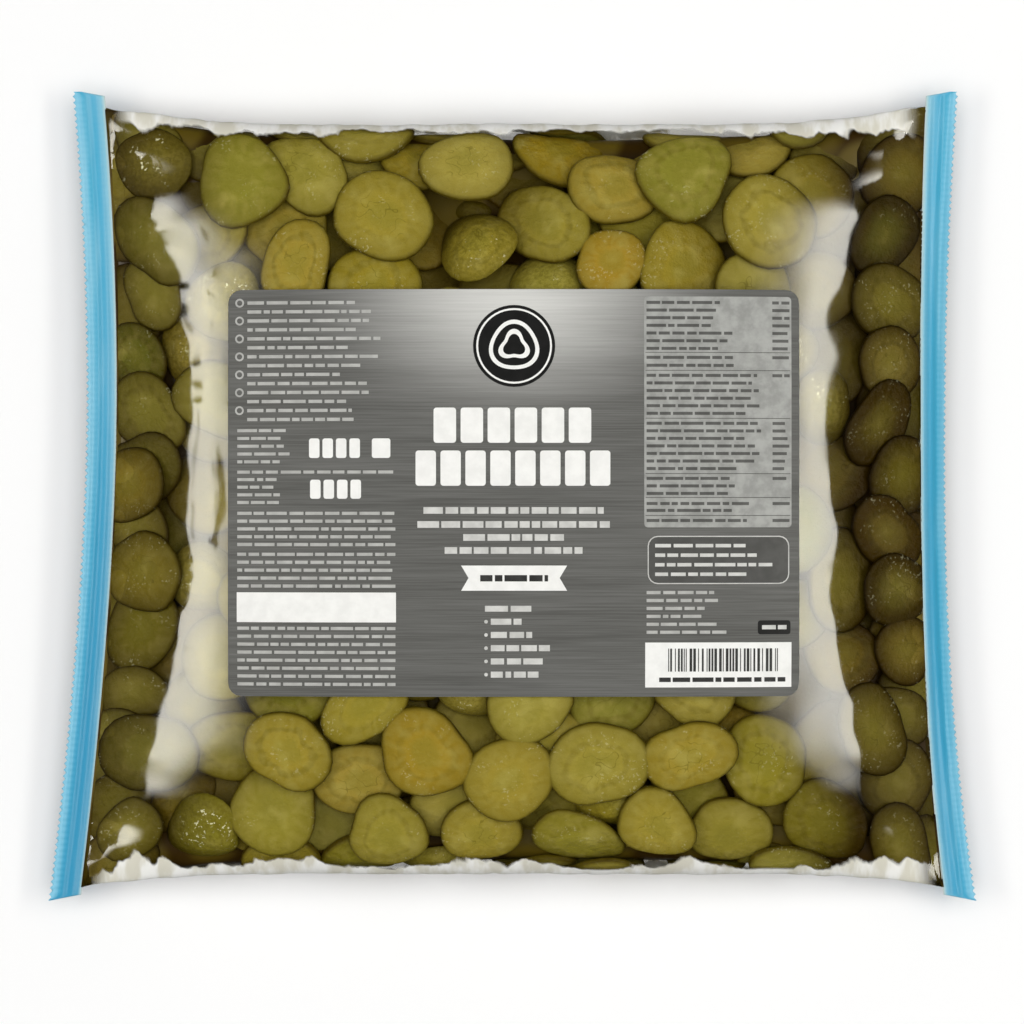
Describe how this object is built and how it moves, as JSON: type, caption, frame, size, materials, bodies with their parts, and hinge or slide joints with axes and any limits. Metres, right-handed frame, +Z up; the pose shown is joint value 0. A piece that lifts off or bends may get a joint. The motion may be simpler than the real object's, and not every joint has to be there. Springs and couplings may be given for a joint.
{
  "type": "pouch of sliced pickles",
  "caption": "Large sealed pillow pouch of clear film filled with sliced pickles in brine, with ribbed coloured end seals and a printed steel-grey panel.",
  "frame": {"origin": "middle of the pouch's length and height, on the surface that it lies on", "axes": "+X to the right of the printed front, +Y to the top of the printed front, +Z up, out of the printed front"},
  "size_m": [0.3576, 0.312, 0.0532],
  "materials": {
    "film": "clear glossy film with soft wrinkles",
    "seal_print": "film printed cyan blue, ribbed lengthwise, saw-toothed edge",
    "panel_print": "print in the look of brushed steel under glossy film",
    "pale_print": "white and pale grey print under glossy film",
    "dark_print": "near-black print under glossy film",
    "pickle": "wet olive-yellow gherkin flesh with darker green skin",
    "brine": "dark olive-brown brine between the slices"
  },
  "bodies": {
    "root": {"pouch_body": "film", "end_seal_left": "seal_print", "end_seal_right": "seal_print", "back_seam": "film"}
  },
  "joints": []
}
